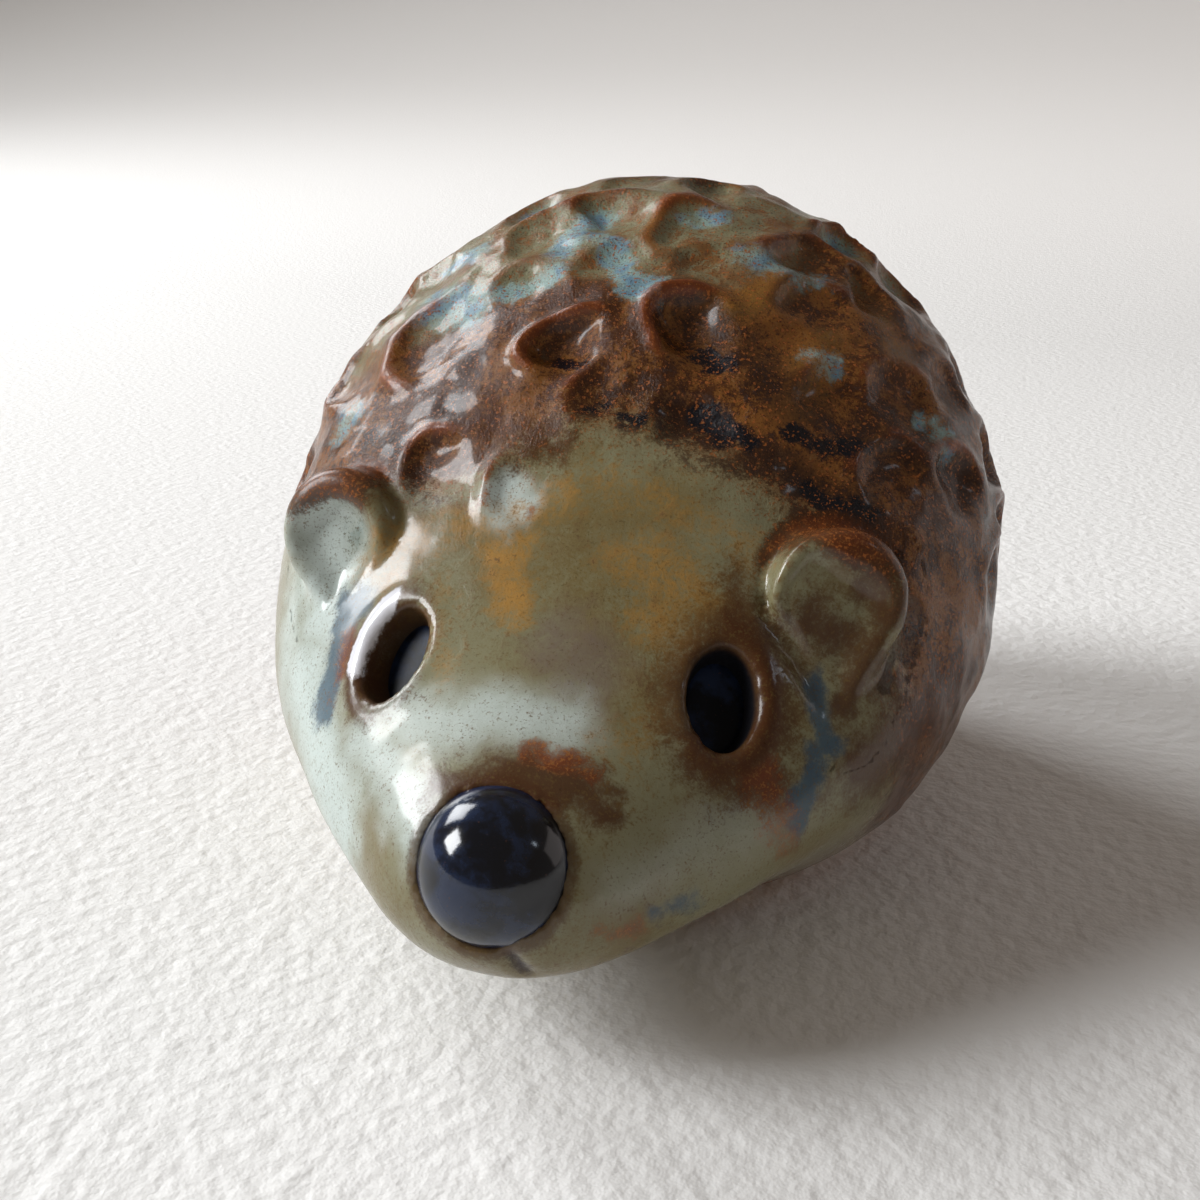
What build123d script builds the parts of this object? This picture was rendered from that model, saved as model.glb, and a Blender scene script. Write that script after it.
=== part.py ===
from build123d import *
import math
import os

# A hand-built stoneware hedgehog, hollow, standing on a flat unglazed base slab.
# The face looks along -Y, the animal's left is +X, and the base rests on Z = 0.

# Whole animal
overall_length = 68.0       # front of the nose ball to the tail
overall_width = 52.6        # across the flanks
overall_height = 45.8       # top of the back
clay_wall = 4.0             # pinched wall round the hollow
overrun = 1.0               # how far a cutting tool passes a face
seat_gap = 0.02             # slip layer between a set piece and its seat

# Base slab
slab_height = 1.8           # bare clay that shows under the glaze line
glaze_step = 0.2            # the bare slab stands back by the glaze's thickness
vent_diameter = 8.0         # lets the hollow breathe in the kiln

# Nose ball
nose_diameter = 8.7
nose_height = 11.5          # its centre above the ground

# Mouth crease round the lower half of the nose
crease_width = 0.9
crease_offset = 0.35        # crease centre line outside the nose ball
crease_setback = 1.5        # how far its circle lies behind the nose centre

# Eye sockets, poked in with an oval stick, and the glaze pooled in them
eye_width = 4.2
eye_height = 6.2
eye_depth = 2.8
eye_draft = 14.0            # degrees that the socket narrows towards its floor
eye_pool_depth = 0.8
eye_stand = 0.0             # its rim above the skin
eye_yaw = 28.0              # degrees that a socket looks out to its side
eye_pitch = 40.0            # degrees that it looks up
eye_lean = -14.0            # degrees that it is turned about its own depth
left_eye_share = -0.308     # place on the skin along the length
left_eye_turn = 55.6        # and degrees round from the middle of the back
right_eye_share = -0.307
right_eye_turn = 51.3

# Ears, pinched discs with a dished front that taper down to the cheek
ear_width = 8.3
ear_tip_diameter = 2.2      # round lower end that runs into the cheek
ear_thickness = 2.4
ear_root = 5.0              # clay behind the disc that joins it to the head
ear_edge = 0.9              # rounding of the rim
ear_dish_depth = 0.9
ear_dish_width = 6.2
ear_stand = 0.62            # the middle of the disc above the skin
ear_pitch = 15.0
ear_lean = -5.0
left_ear_length = 6.0       # from the middle of the disc to its lower end's
left_ear_share = -0.212     # place on the skin along the length
left_ear_turn = 59.4        # and degrees round from the middle of the back
left_ear_yaw = 25.0
right_ear_length = 4.4
right_ear_share = -0.200
right_ear_turn = 56.5
right_ear_yaw = 8.0

# Tool marks of the coat, scooped with a round-ended stick
scoop_width = 5.9           # across a whole mark at the skin
scoop_depth = 1.0           # of a whole mark, below the rubbed skin of the coat
coat_drop = 0.15            # the clay that rubbing took off the coat
scoop_spacing = 7.0         # along a row
scoop_low_turn = 96.0       # degrees from the back's middle where the rows end

# Form of the clay, from muzzle to tail. Each row gives, as shares of the length,
# half the width and the height: place along, half width, top, widest level, bottom,
# and then how hollow the lower flank is, where 1 is an ellipse.
form_shares = (
    (-0.485, 0.055, 0.227, 0.201, 0.177, 1.00),
    (-0.471, 0.148, 0.273, 0.201, 0.140, 0.87),
    (-0.450, 0.243, 0.310, 0.199, 0.118, 0.87),
    (-0.415, 0.342, 0.352, 0.205, 0.107, 0.87),
    (-0.371, 0.464, 0.391, 0.220, 0.111, 0.92),
    (-0.315, 0.593, 0.443, 0.247, 0.094, 1.00),
    (-0.241, 0.745, 0.546, 0.279, 0.028, 1.18),
    (-0.168, 0.852, 0.679, 0.312, -0.061, 1.26),
    (-0.079, 0.943, 0.825, 0.358, -0.127, 1.17),
    (0.038, 1.000, 0.943, 0.415, -0.179, 1.07),
    (0.156, 0.966, 1.000, 0.419, -0.181, 1.00),
    (0.274, 0.886, 0.948, 0.421, -0.151, 1.00),
    (0.376, 0.703, 0.812, 0.417, -0.063, 1.00),
    (0.450, 0.449, 0.655, 0.410, 0.131, 1.00),
    (0.488, 0.171, 0.513, 0.406, 0.330, 1.00),
    (0.500, 0.046, 0.432, 0.406, 0.384, 1.00),
)
section_points = 12         # points round one section
hollow_front_share = -0.170 # the hollow inside follows the rows between these
hollow_back_share = 0.380

# Tool marks seen on the face side, row by row: place along as a share of the length,
# degrees round from the middle of the back, positive to the animal's left, and then
# the width and the depth as shares of a whole mark's.
front_scoop_shares = (
    (-0.206, -13, 0.80, 0.50), (-0.185, -34, 1.05, 0.65),
    (-0.153, 20, 0.85, 0.85), (-0.157, 44, 0.80, 0.55), (-0.144, 4, 0.95, 0.45),
    (-0.111, -7, 0.88, 1.15), (-0.088, 15, 1.02, 1.15), (-0.082, 29, 0.85, 0.45),
    (-0.095, 41, 0.90, 0.60), (-0.112, 55, 0.90, 0.70), (-0.074, -33, 1.30, 0.90),
    (-0.050, -17, 0.85, 0.50), (-0.040, -2, 0.95, 0.50), (-0.019, 14, 0.90, 0.60),
    (-0.023, 32, 1.00, 0.75), (-0.050, 50, 0.95, 0.75),
    (-0.053, 66, 0.90, 0.85), (-0.044, -52, 1.05, 0.75), (-0.020, 84, 0.95, 0.85),
    (-0.050, -72, 0.95, 0.75), (-0.020, -90, 0.90, 0.70),
)
back_rows = 6
back_row_first_share = 0.030
back_row_last_share = 0.435
row_waver_share = 0.012     # how far a mark strays along the length
turn_waver = 3.0            # degrees that a mark strays round the body
mark_phase = 137.5          # degrees of that waver from one mark to the next
row_phase = 97.0            # and from one row to the next
back_width_share = 0.95     # of the marks behind, and how far that strays
width_waver_share = 0.15
width_beat = 2.3            # turns of that waver for one of the mark's
back_depth_share = 0.80
depth_waver_share = 0.25
depth_beat = 1.7
tail_scoop_shares = ((0.478, -70, 0.85, 0.80), (0.478, 0, 0.85, 0.80), (0.478, 70, 0.85, 0.80))
search_steps = 24
settle_rounds = 3


def on_length(share):
    return share * overall_length


def row_section(row, inset):
    along, half, top, level, bottom, hollow = row
    half_width = half * overall_width / 2 - inset
    middle = level * overall_height
    rise = top * overall_height - middle - inset
    fall = middle - bottom * overall_height - inset
    points = []
    for step in range(section_points):
        turn = 2 * math.pi * step / section_points - math.pi / 2
        across, up = math.cos(turn), math.sin(turn)
        if up < 0:
            side = math.copysign(abs(across) ** hollow, across)
            points.append((half_width * side, on_length(along), middle + fall * up))
        else:
            points.append((half_width * across, on_length(along), middle + rise * up))
    return Face(Wire(Spline(points, periodic=True)))


def clay_form(rows, inset=0):
    return loft([row_section(row, inset) for row in rows])


def slice_between(low, high):
    return Pos(0, 0, low) * Box(2 * overall_length, 2 * overall_length, high - low,
                                align=(Align.CENTER, Align.CENTER, Align.MIN))


def row_middle(along):
    for before, after in zip(form_shares, form_shares[1:]):
        if before[0] <= along <= after[0]:
            part = (along - before[0]) / (after[0] - before[0])
            return (before[3] + part * (after[3] - before[3])) * overall_height
    return form_shares[-1][3] * overall_height


def settle(measure, wanted):
    # Share of a face's run at which a rising measure reaches what is wanted.
    low, high = 0, 1
    for _ in range(search_steps):
        share = (low + high) / 2
        if measure(share) < wanted:
            low = share
        else:
            high = share
    return low


def skin_at(skin, along, turn):
    # The skin runs round each section from the belly, and from muzzle to tail.
    level = row_middle(along)
    place = 0
    round_share = 1 / 2
    for _ in range(settle_rounds):
        place = settle(lambda share: skin.position_at(round_share, share).Y, on_length(along))
        round_share = settle(lambda share: -section_turn(skin.position_at(share, place), level), -turn)
    return skin.position_at(round_share, place), skin.normal_at(round_share, place)


def section_turn(point, level):
    # Degrees round from the back's middle, falling to each side of the belly.
    return math.degrees(math.atan2(point.X, point.Z - level))


def scoop_places():
    places = list(front_scoop_shares + tail_scoop_shares)
    for row in range(back_rows):
        along = back_row_first_share + (back_row_last_share - back_row_first_share) * row / (back_rows - 1)
        nearest = min(form_shares, key=lambda shares: abs(shares[0] - along))
        radius = nearest[1] * overall_width / 2
        arc = math.radians(2 * scoop_low_turn) * radius
        count = round(arc / scoop_spacing)
        stagger = (1 + 2 * (row % 2)) / 4
        for step in range(count):
            turn = scoop_low_turn * (2 * (step + stagger) / count - 1)
            phase = math.radians(mark_phase * step + row_phase * row)
            places.append((along + row_waver_share * math.sin(phase),
                           turn + turn_waver * math.cos(phase),
                           back_width_share + width_waver_share * math.sin(width_beat * phase),
                           back_depth_share + depth_waver_share * math.cos(depth_beat * phase)))
    return places


def scoop_tools(skin):
    tools = []
    for along, turn, width_share, depth_share in scoop_places():
        point, normal = skin_at(skin, along, turn)
        half_width = width_share * scoop_width / 2
        depth = coat_drop + depth_share * scoop_depth
        radius = (half_width ** 2 + depth ** 2) / (2 * depth)
        tools.append(Plane(origin=point + normal * (radius - depth), z_dir=normal) * Sphere(radius))
    return tools


def looking_plane(skin, side, along, turn, stand, yaw, pitch, lean):
    # The plane's Z looks out of the head, and its Y is the upright direction of the piece.
    swing, tilt = math.radians(yaw), math.radians(pitch)
    look = Vector(side * math.sin(swing) * math.cos(tilt), -math.cos(swing) * math.cos(tilt), math.sin(tilt))
    across = Vector(math.cos(swing), side * math.sin(swing), 0)
    point, _ = skin_at(skin, along, side * turn)
    return Plane(origin=point + look * stand, x_dir=across, z_dir=look) * Rot(0, 0, side * lean)


def eye_plug(skin, side, depth_from, depth_to):
    along, turn = (left_eye_share, left_eye_turn) if side > 0 else (right_eye_share, right_eye_turn)
    frame = looking_plane(skin, side, along, turn, eye_stand, eye_yaw, eye_pitch, eye_lean)
    shrink = math.tan(math.radians(eye_draft))
    ovals = []
    for depth in (depth_from, depth_to):
        outline = Ellipse(eye_width / 2 - depth * shrink, eye_height / 2 - depth * shrink)
        ovals.append(frame * Pos(0, 0, -depth) * outline)
    return loft(ovals)


def ear_blank(skin, side):
    if side > 0:
        length, along, turn, yaw = left_ear_length, left_ear_share, left_ear_turn, left_ear_yaw
    else:
        length, along, turn, yaw = right_ear_length, right_ear_share, right_ear_turn, right_ear_yaw
    frame = looking_plane(skin, side, along, turn, ear_stand, yaw, ear_pitch, ear_lean)
    outline = make_hull([*Circle(ear_width / 2).edges(),
                         *(Pos(0, -length) * Circle(ear_tip_diameter / 2)).edges()])
    disc = extrude(outline, ear_thickness / 2 + ear_root, dir=(0, 0, -1))
    disc = Pos(0, 0, ear_thickness / 2) * disc
    disc = fillet(disc.edges().group_by(Axis.Z)[-1], ear_edge)
    dish_radius = (ear_dish_width ** 2 / 4 + ear_dish_depth ** 2) / (2 * ear_dish_depth)
    dish = Pos(0, 0, ear_thickness / 2 + dish_radius - ear_dish_depth) * Sphere(dish_radius)
    return frame * (disc - dish)


def nose_centre():
    return (0, nose_diameter / 2 - overall_length / 2, nose_height)


def crease_tools():
    across, forward, level = nose_centre()
    ring = Torus(nose_diameter / 2 + crease_offset, crease_width / 2)
    crease = Pos(across, forward + crease_setback, level) * Rot(90, 0, 0) * ring
    upper = Pos(across, forward, level) * Box(
        2 * nose_diameter, 2 * nose_diameter, nose_diameter,
        align=(Align.CENTER, Align.CENTER, Align.MIN))
    return crease - upper


def body_shell(form, skin):
    shell = form & slice_between(slab_height, 2 * overall_height)
    hollow_rows = [row for row in form_shares if hollow_front_share < row[0] < hollow_back_share]
    shell -= clay_form(hollow_rows, clay_wall) & slice_between(slab_height - overrun, 2 * overall_height)
    seat = Pos(*nose_centre()) * Sphere(nose_diameter / 2 + seat_gap)
    sockets = [eye_plug(skin, side, -eye_depth, eye_depth) for side in (-1, 1)]
    return shell.cut(seat, crease_tools(), *sockets, *scoop_tools(skin))


def foot_slab():
    slab = clay_form(form_shares, glaze_step) & slice_between(0, slab_height)
    return slab - Cylinder(vent_diameter / 2, 2 * slab_height + overrun)


form = clay_form(form_shares)
skin = max(form.faces(), key=lambda face: face.area)
sub_parts = {"foot_slab": foot_slab()}
sub_parts["body_shell"] = body_shell(form, skin)
sub_parts["nose_ball"] = Pos(*nose_centre()) * Sphere(nose_diameter / 2)
for name, side in (("left", 1), ("right", -1)):
    sub_parts["ear_" + name] = ear_blank(skin, side) - form
    sub_parts["eye_" + name] = eye_plug(skin, side, eye_depth - eye_pool_depth, eye_depth)

os.makedirs("parts", exist_ok=True)
for name, piece in sub_parts.items():
    export_step(piece, "parts/" + name + ".step")
    print(name, "volume", round(piece.volume, 1))
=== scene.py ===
import math
import bmesh
import bpy
import numpy as np
from mathutils import Matrix, Vector, noise
from mathutils.bvhtree import BVHTree


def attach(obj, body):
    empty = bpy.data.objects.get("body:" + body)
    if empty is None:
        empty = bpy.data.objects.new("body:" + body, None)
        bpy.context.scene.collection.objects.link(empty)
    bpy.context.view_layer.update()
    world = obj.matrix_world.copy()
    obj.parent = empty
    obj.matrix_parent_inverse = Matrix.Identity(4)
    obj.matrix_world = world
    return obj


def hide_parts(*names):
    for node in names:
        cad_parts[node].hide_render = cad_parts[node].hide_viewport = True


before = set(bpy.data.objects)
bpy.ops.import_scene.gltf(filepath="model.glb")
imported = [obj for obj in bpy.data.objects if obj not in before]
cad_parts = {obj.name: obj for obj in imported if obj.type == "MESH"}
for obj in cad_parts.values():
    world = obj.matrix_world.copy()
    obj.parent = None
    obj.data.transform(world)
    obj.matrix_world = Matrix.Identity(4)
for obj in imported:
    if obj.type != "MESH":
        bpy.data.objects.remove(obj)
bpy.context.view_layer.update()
print("frame loaded:", ", ".join(sorted(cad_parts)))

# A hand-built stoneware hedgehog: a pinched hollow body with a scooped coat, two pinched ears,
# poked eyes and a rolled nose, under a glaze that breaks to rust on edges and pools blue in hollows.
# It is modelled in millimetres, and finishPiece brings each mesh to metres as its last step.
millimetre = 0.001

form = {
    "length": 68.0,
    "width": 52.6,
    "height": 45.8,
    # place along, half width, top, widest level, bottom, hollow of the lower flank
    "rowShares": (
        (-0.485, 0.055, 0.227, 0.201, 0.177, 1.00),
        (-0.471, 0.148, 0.273, 0.201, 0.140, 0.87),
        (-0.450, 0.243, 0.310, 0.199, 0.118, 0.87),
        (-0.415, 0.342, 0.352, 0.205, 0.107, 0.87),
        (-0.371, 0.464, 0.391, 0.220, 0.111, 0.92),
        (-0.315, 0.593, 0.443, 0.247, 0.094, 1.00),
        (-0.241, 0.745, 0.546, 0.279, 0.028, 1.18),
        (-0.168, 0.852, 0.679, 0.312, -0.061, 1.26),
        (-0.079, 0.943, 0.825, 0.358, -0.127, 1.17),
        (0.038, 1.000, 0.943, 0.415, -0.179, 1.07),
        (0.156, 0.966, 1.000, 0.419, -0.181, 1.00),
        (0.274, 0.886, 0.948, 0.421, -0.151, 1.00),
        (0.376, 0.703, 0.812, 0.417, -0.063, 1.00),
        (0.450, 0.449, 0.655, 0.410, 0.131, 1.00),
        (0.488, 0.171, 0.513, 0.406, 0.330, 1.00),
        (0.500, 0.046, 0.432, 0.406, 0.384, 1.00),
    ),
    "hollowFrom": -0.170,
    "hollowTo": 0.380,
    "wall": 4.0,
    "footLevel": 1.8,       # the glazed body ends here, above the bare slab
    "footStep": 0.2,        # the slab stands back by the glaze
    "rustBand": (1.0, 0.2),     # the glaze thins to rust this far above the slab
    "ventRadius": 4.0,
}


def rowSpline(rows):
    # natural cubic through the rows, spaced by how far apart they lie
    sizes = (form["length"], form["width"] / 2, form["height"], form["height"], form["height"], 1)
    table = np.array(rows)
    steps = np.linalg.norm(np.diff(table * np.array(sizes), axis=0), axis=1)
    knots = np.concatenate(([0], np.cumsum(steps)))
    last = len(knots) - 1
    system = np.eye(last + 1)
    slopes = np.diff(table, axis=0) / steps[:, None]
    right = np.zeros_like(table)
    for i in range(1, last):
        system[i, i - 1:i + 2] = steps[i - 1], 2 * (steps[i - 1] + steps[i]), steps[i]
        right[i] = 6 * (slopes[i] - slopes[i - 1])
    bends = np.linalg.solve(system, right)

    def at(place):
        i = np.clip(np.searchsorted(knots, place) - 1, 0, last - 1)
        span = steps[i][:, None]
        after = (place - knots[i])[:, None] / span
        before = 1 - after
        curve = (before ** 3 - before) * bends[i] + (after ** 3 - after) * bends[i + 1]
        return before * table[i] + after * table[i + 1] + curve * span ** 2 / 6

    return at, knots[-1]


def roundBall(sides, rings, radius=1):
    shape = bmesh.new()
    bmesh.ops.create_uvsphere(shape, u_segments=sides, v_segments=rings, radius=radius)
    return shape


def pointsOf(shape):
    return np.array([v.co for v in shape.verts])


def moveTo(shape, places):
    for vertex, place in zip(shape.verts, places):
        vertex.co = place


def clayForm(rows, inset, rings, sides):
    # a round ball whose rings are drawn out to the sections of the animal
    at, total = rowSpline(rows)
    shape = roundBall(sides, rings)
    ball = pointsOf(shape)
    ring = np.arccos(np.clip(ball[:, 2], -1, 1)) / math.pi * rings
    place = np.clip((ring - 1) / (rings - 2), 0, 1) * total
    along, half, top, level, bottom, hollow = at(place).T
    turn = np.arctan2(ball[:, 1], ball[:, 0])
    spread = np.hypot(ball[:, 0], ball[:, 1]) > 1e-4
    across, up = np.cos(turn), np.sin(turn)
    middle = level * form["height"]
    rise = top * form["height"] - middle - inset
    fall = middle - bottom * form["height"] - inset
    side = np.where(up < 0, np.sign(across) * np.abs(across) ** hollow, across)
    x = side * (half * form["width"] / 2 - inset) * spread
    z = middle + up * np.where(up < 0, fall, rise) * spread
    moveTo(shape, np.column_stack((x, along * form["length"], z)))
    bmesh.ops.recalc_face_normals(shape, faces=shape.faces)
    return shape


def linked(name, data):
    made = bpy.data.objects.new(name, data)
    bpy.context.scene.collection.objects.link(made)
    return made


def asObject(shape, name):
    mesh = bpy.data.meshes.new(name)
    shape.to_mesh(mesh)
    shape.free()
    return linked(name, mesh)


def withModifiers(source):
    # the mesh as its modifiers leave it, in a new bmesh, and the object is used up
    graph = bpy.context.evaluated_depsgraph_get()
    shape = bmesh.new()
    shape.from_mesh(bpy.data.meshes.new_from_object(source.evaluated_get(graph)))
    bpy.data.objects.remove(source)
    return shape


def combine(base, tools, operation):
    for tool in tools:
        step = base.modifiers.new(tool.name, "BOOLEAN")
        step.operation = operation
        step.solver = "EXACT"
        step.object = tool
    shape = withModifiers(base)
    for tool in tools:
        bpy.data.objects.remove(tool)
    return shape


def cutLevel(shape, level, **cleared):
    everything = shape.verts[:] + shape.edges[:] + shape.faces[:]
    bmesh.ops.bisect_plane(shape, geom=everything, plane_co=(0, 0, level), plane_no=(0, 0, 1), **cleared)


def evenFaces(made, voxel):
    step = made.modifiers.new("even faces", "REMESH")
    step.mode = "VOXEL"
    step.voxel_size = voxel


def rub(made, steps, group=""):
    step = made.modifiers.new("rub", "SMOOTH")
    step.factor = 0.5
    step.iterations = steps
    step.vertex_group = group


def fade(value, low, high):
    # smooth step from 0 at low to 1 at high
    part = np.clip((value - low) / (high - low), 0, 1)
    return part * part * (3 - 2 * part)


skin = clayForm(form["rowShares"], 0, 140, 160)
skinTree = BVHTree.FromBMesh(skin)


def widestLevel(along):
    places, _, _, levels, _, _ = zip(*form["rowShares"])
    return np.interp(along, places, levels) * form["height"]


def skinAt(along, turn):
    # a point of the skin, degrees round from the middle of the back, and its normal
    swing = math.radians(turn)
    start = Vector((0, along * form["length"], widestLevel(along)))
    point, normal, _, _ = skinTree.ray_cast(start, Vector((math.sin(swing), 0, math.cos(swing))))
    return point, normal


def facing(yaw, pitch):
    # axes of what looks out along its Z, yaw degrees round from the animal's front, with Y upright
    swing, tilt = math.radians(yaw), math.radians(pitch)
    level = math.cos(tilt)
    look = Vector((math.sin(swing) * level, -math.cos(swing) * level, math.sin(tilt)))
    across = Vector((math.cos(swing), math.sin(swing), 0))
    return Matrix((across, look.cross(across), look)).transposed()


def lookingFrame(side, place, yaw, pitch, lean):
    # of an eye or an ear
    turned = facing(side * yaw, pitch).to_4x4()
    return Matrix.Translation(place) @ turned @ Matrix.Rotation(math.radians(side * lean), 4, "Z")


def inFrame(points, place):
    # points in the coordinates of a looking frame
    back = np.array(place.inverted())
    return points @ back[:3, :3].T + back[:3, 3]


eyes = {
    "width": 4.2,
    "height": 6.4,
    "depth": 3.0,
    "squareness": 2.4,      # 2 is an ellipsoid, more has steeper walls
    "yaw": 28.0,
    "pitch": 40.0,
    "lean": -14.0,
    "rimHeight": 0.26,
    "rimWidth": 0.7,
    "poolLevel": -2.1,      # the middle of the glaze pooled in a socket
    "poolThickness": 1.2,
    "poolShare": 0.46,      # its half width, of the socket's width
    "poolDip": 0.35,        # what its sunken middle keeps of its height
    "halo": {1: 0.95, -1: 0.3},     # brown glaze that gathered round them
    "haloWidth": 2.5,
    "darkFrom": {1: (-0.1, -0.8), -1: (-0.9, -2.6)},    # depths at which a socket turns dark
    "places": {1: (-0.308, 55.6), -1: (-0.307, -51.3)},
}

ears = {
    "width": 8.3,
    "tipWidth": 2.2,
    "thickness": 2.4,
    "root": 5.0,
    "stand": 0.62,
    "pitch": 15.0,
    "lean": -5.0,
    "dishDepth": {1: 0.75, -1: 1.15},
    "rim": {1: 1.2, -1: 0.8},
    "dishTint": {1: 0.3, -1: 1.0},
    "openSide": 2.6,        # one ear has no rim towards the forehead
    "openFrom": (0.6, -2.6),
    "topRim": 1.0,          # the rim is this much broader at the top
    "topFrom": (-1.0, 3.4),
    # where the head's skin turns into an ear: past its outline, up from its root, and its front
    "edge": (1.0, -0.2),
    "foot": (-2.6, -0.6),
    "front": (5, 3),
    "bevel": 1.15,
    "cutReach": 2.6,
    "cutHeight": 0.5,       # an ear is a piece of its own from here above the skin
    # side: place along, degrees round, yaw, length to the lower end
    "places": {1: (-0.212, 59.4, 25.0, 6.0), -1: (-0.200, -56.5, 8.0, 4.4)},
}

nose = {
    "radius": 4.35,
    "level": 11.5,
    "creaseRadius": 4.75,
    "creaseSetback": 1.3,
    "creaseDepth": 0.5,
    "creaseWidth": 0.42,
    "sink": 0.25,           # the ball sits this deep in its slip
    "notch": ((1.5, -33.2, 8.6), (2.2, -32.2, 6.6)),
    "notchDepth": 0.5,
    "notchWidth": 0.5,
    "unevenness": 0.03,
    "unevenSize": 3.0,
}
noseCentre = Vector((0, nose["radius"] - form["length"] / 2, nose["level"]))

eyeFrames = {}
earFrames = {}
for side in (1, -1):
    point, _ = skinAt(*eyes["places"][side])
    eyeFrames[side] = lookingFrame(side, point, eyes["yaw"], eyes["pitch"], eyes["lean"])
    along, turn, yaw, _ = ears["places"][side]
    point, _ = skinAt(along, turn)
    earFrames[side] = lookingFrame(side, point, yaw, ears["pitch"], ears["lean"])
    earFrames[side] = earFrames[side] @ Matrix.Translation((0, 0, ears["stand"]))


def eyePlug(side):
    # the end of the stick that pokes a socket
    shape = roundBall(40, 28)
    power = 2 / eyes["squareness"]
    for vertex in shape.verts:
        flat = Vector((vertex.co.x, vertex.co.y, 0))
        reach = flat.length
        if reach > 1e-6:
            flat *= reach ** power / reach
        vertex.co = (flat.x, flat.y, math.copysign(abs(vertex.co.z) ** power, vertex.co.z))
    size = (eyes["width"] / 2, eyes["height"] / 2, eyes["depth"])
    bmesh.ops.scale(shape, vec=size, verts=shape.verts)
    bmesh.ops.transform(shape, matrix=eyeFrames[side], verts=shape.verts)
    return asObject(shape, "socket")


def earBlank(side):
    # two discs with one hull round them
    length = ears["places"][side][3]
    deep = ears["thickness"] + ears["root"]
    front = ears["thickness"] / 2
    shape = bmesh.new()
    for radius, drop in ((ears["width"] / 2, 0), (ears["tipWidth"] / 2, length)):
        disc = bmesh.ops.create_cone(
            shape, cap_ends=True, segments=64, radius1=radius, radius2=radius, depth=deep)
        bmesh.ops.translate(shape, vec=(0, -drop, front - deep / 2), verts=disc["verts"])
    hull = bmesh.ops.convex_hull(shape, input=shape.verts)
    loose = hull["geom_interior"] + hull["geom_unused"]
    spare = dict.fromkeys(g for g in loose if isinstance(g, bmesh.types.BMVert))
    bmesh.ops.delete(shape, geom=list(spare), context="VERTS")
    bmesh.ops.dissolve_limit(shape, angle_limit=math.radians(1), verts=shape.verts, edges=shape.edges)
    rim = [e for e in shape.edges if min(v.co.z for v in e.verts) > front - 0.01]
    bmesh.ops.bevel(
        shape, geom=rim, offset=ears["bevel"], segments=5, profile=0.5, affect="EDGES", material=-1)
    bmesh.ops.transform(shape, matrix=earFrames[side], verts=shape.verts)
    bmesh.ops.recalc_face_normals(shape, faces=shape.faces)
    return asObject(shape, "ear blank")


def earReach(points, side):
    # distance to the outline of an ear, below 0 inside it, and its local coordinates
    local = inFrame(points, earFrames[side])
    big, small, length = ears["width"] / 2, ears["tipWidth"] / 2, ears["places"][side][3]
    x, y = np.abs(local[:, 0]), -local[:, 1]
    slant = (big - small) / length
    run = math.sqrt(1 - slant * slant)
    along = y * run - x * slant
    reach = np.where(along < 0, np.hypot(x, y) - big, x * run + y * slant - big)
    return np.where(along > run * length, np.hypot(x, y - length) - small, reach), local


def eyeOval(points, side):
    # local coordinates of an eye, and how far out from its middle, 1 on the edge of its socket
    local = inFrame(points, eyeFrames[side])
    return local, np.hypot(local[:, 0] / (eyes["width"] / 2), local[:, 1] / (eyes["height"] / 2))


bodyMesh = {
    "voxel": 0.355,
    "softSteps": 26,
    "crispSteps": 3,
    "crispEar": (1.6, 0.2),     # from soft to crisp at these distances from an ear
    "crispSocket": (1.7, 1.25),
    "crispNose": (1.2, 0.5),
    "edgePasses": 10,           # an edge is where the skin stands off from a copy smoothed so often
    "edgeGain": 6,
}


def thrownBody():
    # form, ears, eye sockets and nose seat in one skin of even small faces
    base = asObject(skin.copy(), "clay")
    sockets = [eyePlug(side) for side in (1, -1)]
    seat = roundBall(48, 32, nose["radius"] - nose["sink"])
    bmesh.ops.translate(seat, vec=noseCentre, verts=seat.verts)
    cut = asObject(combine(base, sockets + [asObject(seat, "seat")], "DIFFERENCE"), "cut clay")
    whole = asObject(combine(cut, [earBlank(side) for side in (1, -1)], "UNION"), "whole clay")
    evenFaces(whole, bodyMesh["voxel"])
    return withModifiers(whole)


def fromNose(points):
    return np.linalg.norm(points - np.array(noseCentre), axis=1) - nose["radius"]


def softened(shape):
    # rubbed smooth all over, less at the ears, sockets and nose
    points = pointsOf(shape)
    crisp = fade(fromNose(points), *bodyMesh["crispNose"])
    for side in (1, -1):
        reach, local = earReach(points, side)
        near = (local[:, 2] > -4.5) & (local[:, 2] < 4)
        crisp = np.maximum(crisp, near * fade(reach, *bodyMesh["crispEar"]))
        local, oval = eyeOval(points, side)
        crisp = np.maximum(crisp, (np.abs(local[:, 2]) < 5) * fade(oval, *bodyMesh["crispSocket"]))
    rubbed = asObject(shape, "rubbed")
    group = rubbed.vertex_groups.new(name="soft")
    for share in np.unique(np.round(crisp, 1)):
        members = np.nonzero(np.round(crisp, 1) == share)[0].tolist()
        group.add(members, float(1 - share), "REPLACE")
    rub(rubbed, bodyMesh["softSteps"], "soft")
    rub(rubbed, bodyMesh["crispSteps"])
    return withModifiers(rubbed)


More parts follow.
